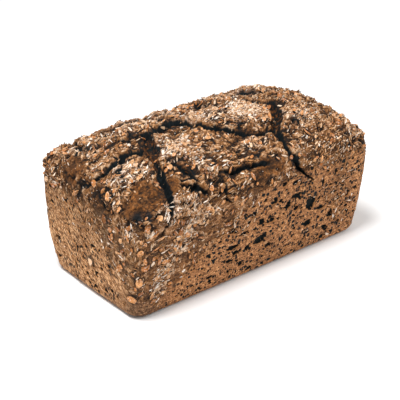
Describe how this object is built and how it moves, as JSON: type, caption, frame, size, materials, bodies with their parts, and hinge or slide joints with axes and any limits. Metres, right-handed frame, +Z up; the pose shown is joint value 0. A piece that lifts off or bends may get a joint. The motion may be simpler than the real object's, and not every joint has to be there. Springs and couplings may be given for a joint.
{
  "type": "tin loaf",
  "caption": "dark wholegrain rye tin loaf with porous plain sides and a domed top crust torn into craggy plates and strewn with flour and rye flakes",
  "frame": {"origin": "centre of the loaf's box, at its flat bottom", "axes": "+X along the loaf's length, towards the end away from the floury corner, +Z up"},
  "size_m": [0.227, 0.1304, 0.1104],
  "materials": {
    "crust": "matte"
  },
  "bodies": {
    "root": {"loaf": "crust"}
  },
  "joints": []
}
